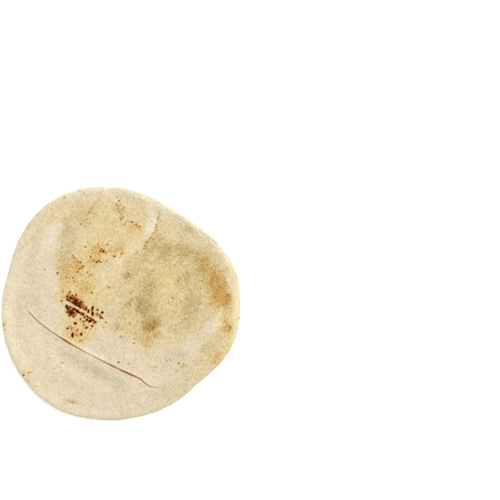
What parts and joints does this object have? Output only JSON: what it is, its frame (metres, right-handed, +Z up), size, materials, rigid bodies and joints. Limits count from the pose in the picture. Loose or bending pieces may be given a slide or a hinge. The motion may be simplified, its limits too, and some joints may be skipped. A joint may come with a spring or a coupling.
{
  "type": "pita bread",
  "caption": "Thin round pocket pita, shut and uncut, with a soft rolled rim, a bent crease across its pale front, toasted patches and a small charred spot.",
  "frame": {"origin": "on the plane the bread rests on, under the middle of its outline's box", "axes": "+Z up out of the upper crust; the bread lies flat in X and Y, with the crease in the -X -Y half and the charred spot on the -X side"},
  "size_m": [0.2392, 0.2348, 0.0079],
  "materials": {
    "bread_crust": "dry, matte, lightly floured flatbread crust, cream with golden toasted patches, brown freckles and a near-black charred spot"
  },
  "bodies": {
    "root": {"pita": "bread_crust"}
  },
  "joints": []
}
